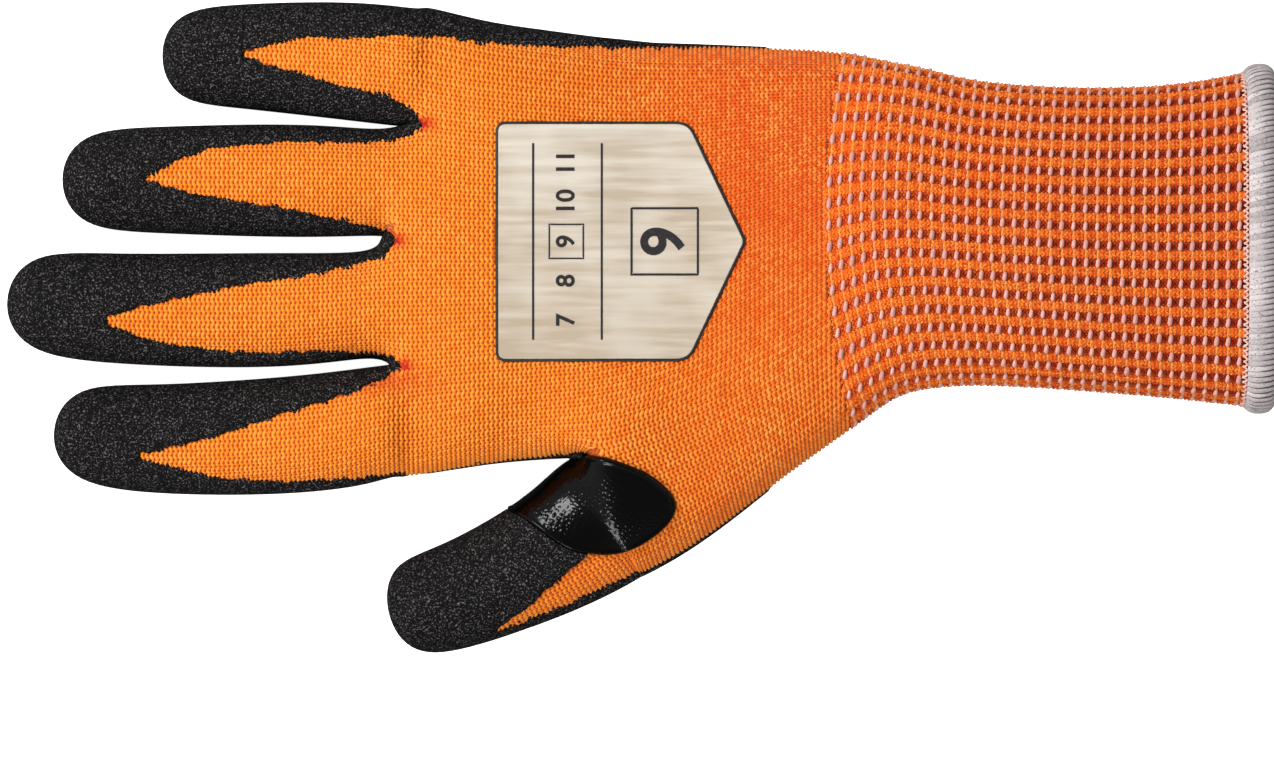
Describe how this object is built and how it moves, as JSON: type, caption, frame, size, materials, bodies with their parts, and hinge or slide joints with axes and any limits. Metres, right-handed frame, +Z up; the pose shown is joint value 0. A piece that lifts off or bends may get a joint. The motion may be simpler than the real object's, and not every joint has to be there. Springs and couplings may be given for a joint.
{
  "type": "hi-vis safety glove",
  "caption": "Right-hand knit work glove lying palm down, with foam-coated palm and fingertips, glossy thumb crotch patch, plain back label, ribbed cuff and overlocked hem.",
  "frame": {"origin": "on the floor, under the middle of the glove's bounding box", "axes": "+X from the fingertips to the cuff, +Y from the thumb to the little finger, +Z up out of the back of the hand"},
  "size_m": [0.2788, 0.1434, 0.0323],
  "materials": {
    "orange_knit": "fluorescent orange seamless knit",
    "foam_nitrile": "black sandy foam, matt",
    "smooth_nitrile": "black smooth dip, glossy",
    "transfer_film": "warm grey heat transfer over knit",
    "orange_rib": "fluorescent orange rib knit with white elastic thread",
    "grey_overlock": "light grey overlock thread"
  },
  "bodies": {
    "root": {"knit_hand": "orange_knit", "palm_coating": "foam_nitrile", "thumb_crotch_patch": "smooth_nitrile", "back_label": "transfer_film", "ribbed_cuff": "orange_rib", "cuff_hem": "grey_overlock"}
  },
  "joints": []
}
